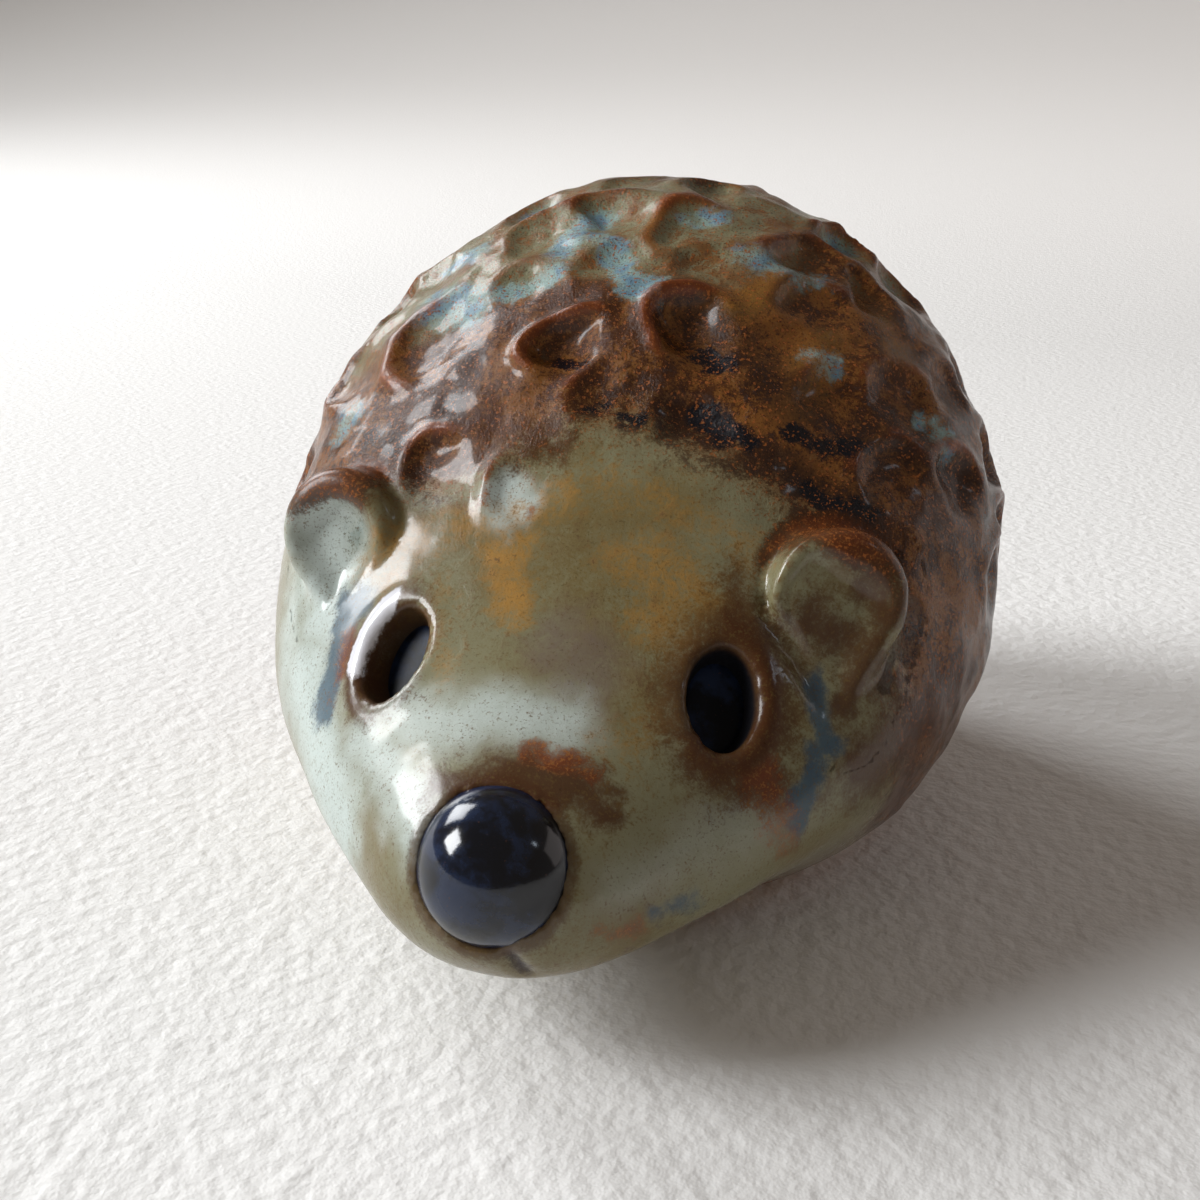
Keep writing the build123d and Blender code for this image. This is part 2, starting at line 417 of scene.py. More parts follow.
# Tool marks of the coat. Each is pushed towards its deep end, where the clay stands up in a lip.
scoops = {
    "radius": 2.95,
    "depth": 1.0,
    "lip": 0.5,
    "lipWidth": 0.2,
    "lipPlace": 1.1,        # in radii from the middle of the mark
    "stretch": 1.35,        # longer towards the shallow end
    # how the rim wavers: waves round it, how they shift from mark to mark, size
    "wavers": ((2, 1, 0.08), (3, 2.1, 0.07), (5, 3, 0.03)),
    "wipes": (0.75, 1.15),  # what was there before ends between these
    "coatDrop": 0.15,       # the coat lies this much lower, where it was rubbed
    # place along, degrees round, size, depth, stroke in degrees from the tail to the animal's left, lip
    "seenShares": (
        (-0.206, -13, 0.80, 0.26, 80, 0.7), (-0.185, -34, 0.95, 0.42, 35, 0.9),
        (-0.153, 20, 0.85, 0.60, 60, 0.2), (-0.157, 44, 0.80, 0.40, 20, 0.2),
        (-0.144, 4, 0.95, 0.35, 85, 0.5), (-0.111, -7, 0.88, 1.05, 50, 1.4),
        (-0.088, 15, 1.02, 1.05, 62, 1.4), (-0.082, 29, 0.85, 0.30, 40, 0.2),
        (-0.095, 41, 0.90, 0.50, 60, 0.3), (-0.112, 55, 0.90, 0.55, 55, 0.4),
        (-0.074, -33, 1.30, 0.80, 72, 1.0), (-0.050, -17, 0.85, 0.35, 50, 0.4),
        (-0.040, -2, 0.95, 0.40, 40, 0.2), (-0.019, 14, 0.90, 0.45, 50, 0.2),
        (-0.023, 32, 1.00, 0.60, 50, 0.4), (-0.050, 50, 0.95, 0.60, 60, 0.5),
        (-0.053, 66, 0.90, 0.70, 65, 0.7), (-0.044, -52, 1.05, 0.65, 60, 0.7),
        (-0.020, 84, 0.95, 0.70, 60, 0.8), (-0.050, -72, 0.95, 0.65, 50, 0.7),
        (-0.020, -90, 0.90, 0.60, 45, 0.6),
    ),
    "tailShares": ((0.478, -70), (0.478, 0), (0.478, 70)),
    "rows": 6,
    "firstShare": 0.030,
    "lastShare": 0.435,
    "lowTurn": 96.0,
    "spacing": 7.0,
    "waverShare": 0.012,
    "waverTurn": 3.0,
    "markPhase": 137.5,
    "rowPhase": 97.0,
}


def scoopMarks():
    marks = []
    lengthwise = scoops["lastShare"] - scoops["firstShare"]
    for row in range(scoops["rows"]):
        along = scoops["firstShare"] + lengthwise * row / (scoops["rows"] - 1)
        nearest = min(form["rowShares"], key=lambda shares: abs(shares[0] - along))
        girth = math.radians(2 * scoops["lowTurn"]) * nearest[1] * form["width"] / 2
        count = round(girth / scoops["spacing"])
        for step in range(count):
            turn = scoops["lowTurn"] * (2 * (step + (1 + 2 * (row % 2)) / 4) / count - 1)
            phase = math.radians(scoops["markPhase"] * step + scoops["rowPhase"] * row)
            swing = math.sin(2.3 * phase)
            turn += scoops["waverTurn"] * math.cos(phase)
            marks.append((
                along + scoops["waverShare"] * math.sin(phase), turn, 0.95 + 0.15 * swing,
                0.7 + 0.25 * math.cos(1.7 * phase), 42 + 28 * swing, 0.45 + 0.3 * math.sin(3.1 * phase)))
    marks += [(along, turn, 0.85, 0.8, 40, 0.6) for along, turn in scoops["tailShares"]]
    marks.sort(key=lambda mark: -mark[0])
    return marks + sorted(scoops["seenShares"], key=lambda mark: -mark[0])


def pressScoop(points, marks, mark, seed):
    # one mark wipes out what lies under it and pushes up its lip
    along, turn, size, depth, stroke, lip = mark
    centre, normal = skinAt(along, turn)
    tailward = (Vector((0, 1, 0)) - normal * normal.y).normalized()
    leftward = tailward.cross(normal)
    swing = math.radians(stroke)
    push = np.array(tailward * math.cos(swing) + leftward * math.sin(swing))
    cross = np.cross(np.array(normal), push)
    radius = scoops["radius"] * size
    offset = points - np.array(centre)
    close = np.linalg.norm(offset, axis=1) < 2.4 * radius
    near = np.nonzero(close & (offset @ np.array(normal) > -2.5))[0]
    if len(near) == 0:
        return
    u, v = offset[near] @ push / radius, offset[near] @ cross / radius
    angle = np.arctan2(v, u)
    wobble = sum((size * np.sin(waves * angle + shift * seed) for waves, shift, size in scoops["wavers"]), 1)
    far = np.hypot(np.where(u < 0, u / scoops["stretch"], u), v) / wobble
    rear = fade(np.cos(angle), -0.35, 0.65)
    inside = np.clip(far, 0, 1)
    bowl = rear * (1 - inside ** 3) + (1 - rear) * (1 - inside ** 2) ** 2
    bowl *= 1 + 0.3 * np.clip(u, -1, 1)
    crest = rear * (0.8 + 0.3 * np.sin(3 * angle + seed)) * lip
    width = scoops["lipWidth"] * (1.7 - 0.5 * lip)
    ridge = crest * np.exp(-((far - scoops["lipPlace"]) / width) ** 2)
    keep = fade(far, *scoops["wipes"])
    low = np.clip(0.5 - offset[near, 2] / radius * 0.6, 0, 1)
    for values in marks.values():
        values[near] *= keep
    marks["lift"][near] = marks["lift"][near] - scoops["depth"] * depth * bowl + scoops["lip"] * ridge
    marks["pool"][near] += bowl * depth
    marks["sink"][near] += bowl * low * depth
    marks["lip"][near] = np.maximum(marks["lip"][near], np.minimum(ridge, 1))


# The lower edge of the coat: degrees round from the middle of the back, and place along
hairline = {
    "turns": (-180, -130, -100, -75, -52, -35, -14, 0, 15, 34, 50, 66, 85, 105, 135, 180),
    "shares": (0.30, 0.16, 0.02, -0.11, -0.18, -0.205, -0.185, -0.17,
               -0.17, -0.18, -0.19, -0.20, -0.23, -0.22, -0.05, 0.30),
    "soft": 0.04,
}


def coatShare(points):
    # 0 on the face and belly, 1 in the coat
    along = points[:, 1] / form["length"]
    turn = np.degrees(np.arctan2(points[:, 0], points[:, 2] - widestLevel(along)))
    edge = np.interp(turn, hairline["turns"], hairline["shares"])
    return fade(along - edge, -hairline["soft"], hairline["soft"])


def ripple(points, size, seed, octaves=3):
    shift = Vector((seed * 7.3, seed * 3.1, seed * 5.7))
    return np.array([noise.fractal(Vector(p) / size + shift, 1.0, 2.0, octaves) for p in points])


def toSegment(points, start, end):
    # distance from each point to the straight line between two places
    start, run = np.array(start), np.array(end) - np.array(start)
    part = np.clip((points - start) @ run / max(run @ run, 1e-9), 0, 1)
    return np.linalg.norm(points - start - part[:, None] * run, axis=1)


def settled(points):
    # lumps are pressed back where they would stand out past the clay's overall size
    soft = 0.7
    limit = np.array((form["width"] / 2, form["length"] / 2, form["height"])) - 0.05
    far = np.abs(points)
    over = np.clip(far - (limit - soft), 0, None)
    return np.sign(points) * np.where(over > 0, limit - soft * np.exp(-over / soft), far)


def earMasks(points, normals, side):
    # where an ear stands, its dish and how deep it is, and the brown top of its rim
    reach, local = earReach(points, side)
    x, y, z = local.T
    ear = fade(reach, *ears["edge"]) * fade(z, *ears["foot"]) * fade(z, *ears["front"])
    ahead = fade(normals @ np.array(earFrames[side].col[2][:3]), 0.35, 0.85)
    top = fade(y, *ears["topFrom"])
    band = ears["rim"][side] + ears["topRim"] * top
    if side > 0:
        band = band - ears["openSide"] * fade(x, *ears["openFrom"])
    bowl = fade(-reach, band - 0.35, band + 1.7) * (ahead if side < 0 else np.sqrt(ahead)) * ear
    over = top * fade(reach, 1.6, 0.4) * fade(-reach, band + 1.1, band - 0.1) * (z > -3)
    if side < 0:
        over = over * fade(x, 3.8, 1.4)
    tint, depth = ears["dishTint"][side], ears["dishDepth"][side]
    return {"ear": ear, "dish": tint * bowl, "hollowed": depth * bowl, "earTop": over}


def eyeMasks(points, side):
    # a socket's raised rim, its dark glaze and painted shade inside, the brown round it, a painted highlight
    # on one
    local, oval = eyeOval(points, side)
    x, y, z = local.T
    outward = (oval - 1) * eyes["width"] / 2
    close = np.abs(z) < 3.4
    spread = np.exp(-np.clip(outward / eyes["haloWidth"], 0, None) ** 2) * (z < 4) * (z > -5)
    lean = 0.62 + 0.38 * side * x / np.maximum(np.hypot(x, y), 0.3)
    masks = {
        "halo": np.maximum(eyes["halo"][side], oval < 1.08) * spread,
        "socketRim": np.exp(-((outward - 0.5) / eyes["rimWidth"]) ** 2) * close * lean,
        # the inside of a socket: dark glaze, and painted shade of the deep hole
        "socket": fade(oval, 1.25, 1.0) * fade(z, *eyes["darkFrom"][side]) * close,
        "paintedGleam": np.zeros(len(points)),
    }
    # painted highlight: white where the window shows in the glaze on the outer rim of one eye
    if side < 0:
        paintedGleam = fade(-x, 0.5, 1.5) * fade(y, -2.6, -0.8) * fade(oval, 1.65, 1.35)
        masks["paintedGleam"] = paintedGleam * fade(oval, 0.95, 1.08) * fade(z, -2.0, -1.2) * close
    return masks


def mouthMarks(points):
    # a crease that hugs the lower half of the nose, and a notch under its middle
    offset = points - np.array(noseCentre) - np.array((0, nose["creaseSetback"], 0))
    around = np.hypot(offset[:, 0], offset[:, 2])
    gap = np.hypot(around - nose["creaseRadius"], offset[:, 1] * 0.55)
    crease = np.exp(-(gap / nose["creaseWidth"]) ** 2) * fade(-offset[:, 2], -0.6, 1.2)
    notch = np.exp(-(toSegment(points, *nose["notch"]) / nose["notchWidth"]) ** 2)
    return crease, notch


lumps = {
    "broad": 0.34,
    "broadSize": 7.0,
    "small": 0.12,
    "smallSize": 2.4,
    "onFace": 0.2,          # the face was smoothed with a wet finger
}


def sculpt(shape):
    # moves the points of the skin and returns what the glaze needs to know of each
    points = pointsOf(shape)
    shape.normal_update()
    normals = np.array([v.normal for v in shape.verts])
    coat = coatShare(points)
    marks = {name: np.zeros(len(points)) for name in ("lift", "pool", "sink", "lip")}
    for seed, mark in enumerate(scoopMarks()):
        pressScoop(points, marks, mark, seed * 1.7)
    values = {"coat": coat}
    for side in (1, -1):
        masks = {**earMasks(points, normals, side), **eyeMasks(points, side)}
        for name, mask in masks.items():
            values[name] = np.maximum(values.get(name, 0), mask)
    ear = values.pop("ear")
    lift = marks["lift"] * (1 - ear) - scoops["coatDrop"] * coat * (1 - ear)
    bumps = lumps["broad"] * ripple(points, lumps["broadSize"], 1)
    bumps = bumps + lumps["small"] * ripple(points, lumps["smallSize"], 2)
    lift = lift + bumps * (lumps["onFace"] + (1 - lumps["onFace"]) * coat) * (1 - 0.6 * ear)
    lift = lift - values.pop("hollowed") + eyes["rimHeight"] * values["socketRim"]
    crease, notch = mouthMarks(points)
    lift = lift - nose["creaseDepth"] * crease - nose["notchDepth"] * notch
    values["crease"] = np.maximum(crease, notch)
    values["seat"] = fade(fromNose(points), 0.9, 0.2)
    for name in ("sink", "lip"):
        values[name] = marks[name] * (1 - ear)
    values.update(washedOn(points, marks["pool"]))
    moveTo(shape, settled(points + normals * lift[:, None]))
    return values


# Colours brushed and dripped on, and painted light: from x, y, z to x, y, z, half the width and the strength
washes = {
    "ochre": (
        (-7.8, -15.6, 25, -1, -14.5, 27.3, 2, 0.65), (-12, -15.5, 23.8, -8.5, -16, 24, 1.8, 0.6),
        (-3.8, -16.4, 24.8, -2.1, -18.9, 22.4, 1.7, 1),
        (1.1, -13.1, 28.9, 11.1, -14.8, 24.7, 2, 0.55), (6.1, -18.8, 21.9, 8.1, -20.1, 20.2, 2.4, 0.7),
        (-7.8, -18.6, 21.7, -5.4, -21.9, 19.4, 1.6, 0.6), (4.4, -16.5, 24.6, 8.1, -17.4, 22.9, 2.4, 0.7),
        (-12.9, -15.7, 22.8, -10.8, -17.6, 21.7, 1.8, 0.6), (4.6, -26.3, 16.6, 9, -21.6, 18.5, 1.8, 0.4),
        (-7.7, -9.3, 32.6, -1.8, -11.5, 30.9, 2, 0.45), (-0.2, 2.8, 43.3, 4.8, -1.6, 40.4, 2.2, 0.8),
        (7.8, -3.6, 38.2, 10, -1.2, 39.3, 2.2, 0.8), (15.6, 2.5, 38.6, 17.9, -0.7, 35.2, 2.2, 0.7),
        (12.3, -7.7, 32.8, 13.6, -3.5, 36, 2, 0.7)),
    "olive": (
        (-8, -15.5, 24.8, 6, -14, 27.6, 3, 0.8), (0.9, -21.2, 20.5, 5.9, -22.7, 18.7, 4.2, 0.6),
        (-3, -17, 24, 5, -17, 24, 4.5, 0.7),
        (9, -17, 22, 12, -20, 17, 3, 0.7)),
    # the rows that reach x of 23 and more, on the animal's left flank, are painted shade on the side turned
    # from the windows
    "brown": (
        (-3.4, -29, 14.9, 4.4, -27.9, 15.4, 1.7, 1), (9.5, -24, 16.2, 13.2, -22.8, 14.2, 1.7, 0.9),
        (17.2, -15.4, 20, 20.4, -13.8, 9.8, 1.8, 0.9), (18.4, -17.8, 14.2, 23.6, -8.8, 14.7, 3.2, 0.9),
        (24, -6, 10, 22, -10, 7, 4, 0.8), (15.6, -14.5, 25.4, 19.4, -14.5, 22.4, 1.5, 0.9),
        (14.6, -16.4, 22, 17.6, -16, 20, 2.2, 0.85), (10, -16.2, 23.8, 13.4, -18.4, 19, 1.9, 0.6),
        (12.6, -21, 17.5, 15.6, -20.5, 13, 1.6, 0.5), (19.6, -14.6, 23, 17, -18, 17.8, 1, 1),
        (-8.5, -10.8, 31, -2, -12, 30.2, 2, 0.75), (-10.5, -12.5, 28.6, -7, -12.6, 29.4, 1.4, 0.8)),
    "rust": (
        (1.6, -27.4, 16.5, 4.2, -27.2, 16.1, 0.9, 1), (-3.2, -13.5, 28.4, -3.2, -14.8, 26.4, 0.5, 1),
        (12.1, -22.9, 15.4, 14, -23.2, 11.5, 1.5, 0.8),
        (5.2, -31.4, 9.2, 7.4, -29.8, 8.6, 0.8, 0.8), (-12.6, -19.6, 19, -12.2, -21.6, 15.2, 1.1, 0.9)),
    "blue": (
        (-13.5, -17.3, 20.7, -13.7, -21.4, 15.7, 1.5, 1.2), (14.9, -18.4, 18.5, 16.1, -19.2, 15.9, 1.1, 1.2),
        (15.4, -20.3, 15.1, 14.7, -22.3, 12.3, 1.1, 1.2), (8.5, -28.7, 9.3, 10.1, -27.2, 9.2, 0.9, 0.8)),
    # partly pale celadon, partly painted sheen: the rows on the cheek and ear towards the windows brighten
    # them as the window's sheen does
    "paleAndSheen": (
        (-16.5, -19, 15.7, -10.5, -26.7, 11, 3.4, 1), (-9.9, -24.8, 15.2, -4.1, -30.3, 13.4, 2, 0.8),
        (6.5, -29.8, 11.8, 12.9, -23.8, 12.9, 2, 0.35), (-6.1, -25, 17, 2.1, -25.4, 17.6, 2.6, 0.75),
        (-18, -12, 20, -17, -17, 14, 3, 0.8), (-10, -20, 19.5, -8, -24, 17, 2, 0.6),
        (-4.9, -13.9, 27.5, -4.1, -14.4, 27, 1.6, 1), (-12.2, -12, 27.7, -9.2, -14, 26.6, 1.6, 0.35),
        (-17, -15, 25.6, -15.5, -17, 19.5, 3, 1)),
    # painted reflection: lilac grey where the room shows in the glaze, on the snout bridge and down the
    # animal's left edge
    "lilacAndReflection": (
        (0.8, -20.7, 20.9, 3.5, -22.3, 19.4, 2.4, 0.8), (20.4, -6.1, 28, 23, -2.1, 27.9, 2, 0.8),
        (23, -8.5, 19.9, 21.6, -12.7, 16.1, 2, 0.8)),
    # the rows that reach x of 23 and more, on the animal's left flank, are painted shade on the side turned
    # from the windows
    "dark": (
        (-15.6, -8.9, 29.5, -10.7, -12.4, 27.9, 1.5, 0.9), (-9.1, -7, 34.8, -10.1, -10.2, 30.7, 1.3, 0.8),
        (-0.8, -8.8, 34.1, 1.6, -10.1, 32.6, 1.6, 0.8), (2.6, -9.1, 33.8, 7.8, -10.4, 31.2, 2, 0.9),
        (5.3, -4.4, 38.2, 12.3, -7.7, 32.8, 2.4, 0.9), (9.2, -10.9, 30.2, 16.4, -10.1, 27.5, 2, 1),
        (16, -7.2, 31.1, 22.3, -3.1, 28.1, 2.4, 0.9), (13.4, -10.7, 28.6, 17.1, -10.5, 26.4, 1.5, 1),
        (20, -8, 24, 24, -3, 22, 2.6, 0.7), (24, -2, 26, 25.5, 0, 16, 3, 0.8)),
    "ink": (
        (13.5, -11.1, 28.1, 16.8, -10.6, 26.4, 1.1, 1), (6.7, -9.6, 32.5, 9.4, -10.4, 30.7, 1.1, 0.9),
        (-3, -8.3, 34.6, -1.7, -8.5, 34.6, 0.8, 0.9), (6.8, -7, 35.5, 7.8, -7, 35.2, 0.9, 1),
        (0.3, -10.2, 32.6, 2.9, -10.4, 32.2, 0.7, 0.9), (12.5, -8.9, 31.2, 16, -7.7, 30.6, 1, 0.9)),
    "cool": (
        (-2.2, -0.5, 41.4, 1.4, -4.3, 38.7, 1.5, 1), (-7.6, -3.2, 38.6, -5.7, -2.5, 39.6, 1.4, 1),
        (-14.1, 2.8, 39.6, -11.4, 1.6, 40.4, 1.4, 0.9), (3.2, 2.9, 43.2, 4.9, 3.2, 43.1, 1.1, 0.9),
        (-9.6, -3.7, 37.6, -14, -1.6, 37.2, 1.8, 0.9), (13.1, -4.8, 35.2, 13.8, -5, 34.6, 1.1, 0.7),
        (19.9, -3.9, 30.7, 21.2, -2.9, 29.9, 1.1, 0.8),
        (-5.1, -0.1, 41.4, -3.1, 3, 43.2, 1.7, 1), (-18.4, -6.7, 29.6, -18, -6, 29.6, 1.8, 0.8),
        (8, 0, 41, 12, 1, 39.5, 1.8, 0.7)),
}
brush = {
    "seed": 11,
    "wander": 1.1,
    "wanderSize": 4.6,
    "flutter": 0.6,
    "flutterSize": 1.3,
    "reach": 1.7,           # a wash fades out at this many times its half width
    "core": 0.1,
    "backFrom": 1.0,
    "backTo": 9.0,
    "crown": ((-14, 2, 38), (2, 4, 44)),
    "crownReach": (15, 5),
    "crownFrom": (-6.5, -1.5),
}


def washedOn(points, pools):
    # how much of each wash lies on each point, with wandering edges
    moved = points.copy()
    for axis in range(3):
        moved[:, axis] += brush["wander"] * ripple(points, brush["wanderSize"], brush["seed"] + axis, 1)
        moved[:, axis] += brush["flutter"] * ripple(points, brush["flutterSize"], brush["seed"] + axis, 2)
    shares = {}
    for name, strokes in washes.items():
        share = np.zeros(len(points))
        for *ends, wide, strength in strokes:
            gap = toSegment(moved, ends[:3], ends[3:])
            share = np.maximum(share, strength * fade(gap, wide * brush["reach"], wide * brush["core"]))
        shares[name] = share
    # past the crown the washes drift: cool where the brown is thin, dark on the animal's left
    drift = ripple(points, 12.0, 5)
    behind = fade(points[:, 1], brush["backFrom"], brush["backTo"])
    thin = behind * fade(drift, -0.3, 0.3) * fade(points[:, 2], 8, 22)
    crown = fade(toSegment(moved, *brush["crown"]), *brush["crownReach"])
    shares["thin"] = np.maximum(thin, crown * fade(points[:, 1], *brush["crownFrom"]))
    shares["cool"] = np.maximum(shares["cool"], behind * np.clip(pools, 0, 1) * fade(drift, -0.3, 0.2))
    shares["dark"] = np.maximum(shares["dark"], behind * fade(drift, 0.0, -0.45) * 0.8)
    return shares


def bending(shape, passes):
    # how convex the skin is at each point, above 0 on edges and below 0 in hollows
    shape.normal_update()
    points = pointsOf(shape)
    normals = np.array([v.normal for v in shape.verts])
    ends = np.array([[v.index for v in e.verts] for e in shape.edges])
    count = np.bincount(ends.ravel(), minlength=len(points))

    def neighbours(values):
        total = np.zeros_like(values)
        np.add.at(total, ends[:, 0], values[ends[:, 1]])
        np.add.at(total, ends[:, 1], values[ends[:, 0]])
        return total / (count[:, None] if values.ndim > 1 else count)

    soft = points
    for _ in range(passes):
        soft = (soft + neighbours(soft)) / 2
    bend = np.einsum("ij,ij->i", points - soft, normals)
    for _ in range(2):
        bend = (bend + neighbours(bend)) / 2
    return bend


def storeValues(shape, values):
    for name, column in values.items():
        layer = shape.verts.layers.float.new(name)
        for vertex, value in zip(shape.verts, column):
            vertex[layer] = float(value)


camera = {
    "azimuth": 13.74,
    "elevation": 19.76,
    "roll": 0.73,
    "distance": 89.61,
    "target": (-2.13, 0.6, 15.61),
    "lens": 36.0,
    "sensor": 36.0,
    "nearest": 5.0,
}


def placeCamera():
    axes = facing(camera["azimuth"], camera["elevation"])
    data = bpy.data.cameras.new("camera")
    data.lens = camera["lens"]
    data.sensor_width = camera["sensor"]
    data.clip_start = camera["nearest"] * millimetre
    made = linked("camera", data)
    place = (Vector(camera["target"]) + axes.col[2] * camera["distance"]) * millimetre
    turned = axes @ Matrix.Rotation(math.radians(camera["roll"]), 3, "Z")
    made.matrix_world = Matrix.Translation(place) @ turned.to_4x4()
    bpy.context.scene.camera = made


placeCamera()
print("camera placed")


class Wire:
    # a shader socket that adds Math nodes when it is calculated with
    def __init__(self, shader, socket):
        self.shader = shader
        self.socket = socket

    def calculate(self, operation, *values, clamp=False):
        settings = {"operation": operation, "use_clamp": clamp}
        return self.shader.add("ShaderNodeMath", settings, dict(enumerate(values)))

    def __add__(self, other):
        return self.calculate("ADD", self, other)

    def __sub__(self, other):
        return self.calculate("SUBTRACT", self, other)

    def __rsub__(self, other):
        return self.calculate("SUBTRACT", other, self)

    def __mul__(self, other):
        return self.calculate("MULTIPLY", self, other)

    __radd__ = __add__
    __rmul__ = __mul__

    def clamped(self):
        return self.calculate("ADD", self, 0.0, clamp=True)

    def between(self, low, high):
        sockets = {"Value": self, "From Min": low, "From Max": high}
        return self.shader.add("ShaderNodeMapRange", {"interpolation_type": "SMOOTHSTEP"}, sockets)


class Shader:
    def __init__(self, name):
        self.material = bpy.data.materials.new(name)
        self.material.use_nodes = True
        self.tree = self.material.node_tree
        self.tree.nodes.clear()
        # object coordinates in millimetres
        sockets = {0: self.add("ShaderNodeTexCoord", output=3), "Scale": 1 / millimetre}
        self.where = self.add("ShaderNodeVectorMath", {"operation": "SCALE"}, sockets)

    def add(self, kind, settings=None, sockets=None, output=0):
        node = self.tree.nodes.new(kind)
        for name, value in (settings or {}).items():
            setattr(node, name, value)
        for name, value in (sockets or {}).items():
            if isinstance(value, Wire):
                self.tree.links.new(value.socket, node.inputs[name])
            else:
                node.inputs[name].default_value = value
        return Wire(self, node.outputs[output]) if len(node.outputs) else node

    def grain(self, size, detail, roughness, distortion=0.0):
        return self.add("ShaderNodeTexNoise", None, {
            "Vector": self.where, "Scale": 1 / size, "Detail": detail, "Roughness": roughness,
            "Distortion": distortion})

    def value(self, name):
        return self.add("ShaderNodeAttribute", {"attribute_name": name}, output=2)

    def mix(self, first, second, share):
        first, second = (v if isinstance(v, Wire) else (*v, 1) for v in (first, second))
        settings = {"data_type": "RGBA", "clamp_factor": True}
        return self.add("ShaderNodeMix", settings, {0: share, 6: first, 7: second}, output=2)

    def bump(self, height, strength, distance, normal=None):
        sockets = {"Height": height, "Strength": strength, "Distance": distance}
        if normal:
            sockets["Normal"] = normal
        return self.add("ShaderNodeBump", None, sockets)

    def finish(self, sockets):
        surface = self.add("ShaderNodeBsdfPrincipled", None, sockets)
        self.add("ShaderNodeOutputMaterial", None, {"Surface": surface})
        return self.material


def tone(red, green, blue):
    # a screen colour of 0 to 255 as light
    shares = [c / 255 for c in (red, green, blue)]
    return tuple(s / 12.92 if s < 0.04 else ((s + 0.055) / 1.055) ** 2.4 for s in shares)


glaze = {
    "celadon": tone(124, 120, 92),
    "olive": tone(108, 90, 50),
    # pale celadon, also laid as painted sheen on the side towards the windows
    "paleAndSheen": tone(192, 204, 200),
    # a lilac grey, also the colour of the painted reflection on the snout and the animal's left edge
    "lilacAndReflection": tone(112, 100, 96),
    "aqua": tone(136, 164, 160),
    "sky": tone(92, 134, 162),
    "ochre": tone(168, 122, 54),
    "amber": tone(120, 76, 34),
    "brown": tone(70, 39, 18),
    "rust": tone(112, 54, 24),
    "spark": tone(182, 104, 50),
    "dark": tone(44, 27, 18),
    "blue": tone(44, 76, 98),
    "ink": tone(12, 15, 22),
    # white of the painted highlight on an eye's rim
    "paintedGleam": tone(222, 222, 228),
    "clay": tone(190, 156, 118),
}


